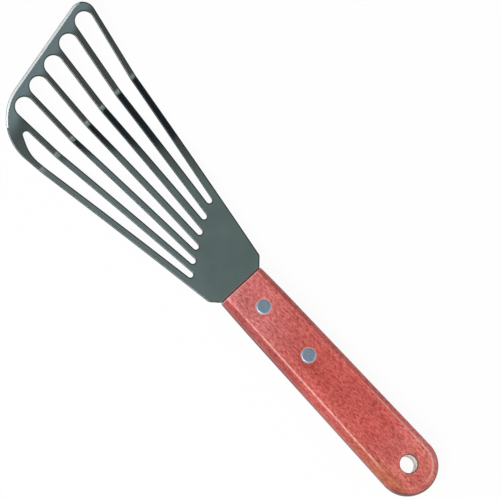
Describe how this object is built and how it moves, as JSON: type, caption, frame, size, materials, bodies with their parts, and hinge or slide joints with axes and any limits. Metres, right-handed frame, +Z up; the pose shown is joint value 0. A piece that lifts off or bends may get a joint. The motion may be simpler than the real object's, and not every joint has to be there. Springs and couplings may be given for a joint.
{
  "type": "fish spatula",
  "caption": "Fish spatula: thin fan-shaped steel blade with drain slots, turned up across its tip and bevelled in front, riveted by its tang into a hardwood handle with a hang hole.",
  "frame": {"origin": "on the hang hole's axis, at half the handle's thickness", "axes": "+X along the handle from the butt to the blade's front edge, +Z up out of the face that carries the rivet posts' heads and the ground bevel, +Y to the blade's left"},
  "size_m": [0.305, 0.079, 0.015],
  "materials": {
    "stainless_sheet": "fine brushed",
    "stained_hardwood": "satin lacquer",
    "rivet_steel": "ground flat"
  },
  "bodies": {
    "root": {"blade": "stainless_sheet", "handle": "stained_hardwood", "front_rivet_post": "rivet_steel", "front_rivet_socket": "rivet_steel", "rear_rivet_post": "rivet_steel", "rear_rivet_socket": "rivet_steel"}
  },
  "joints": []
}
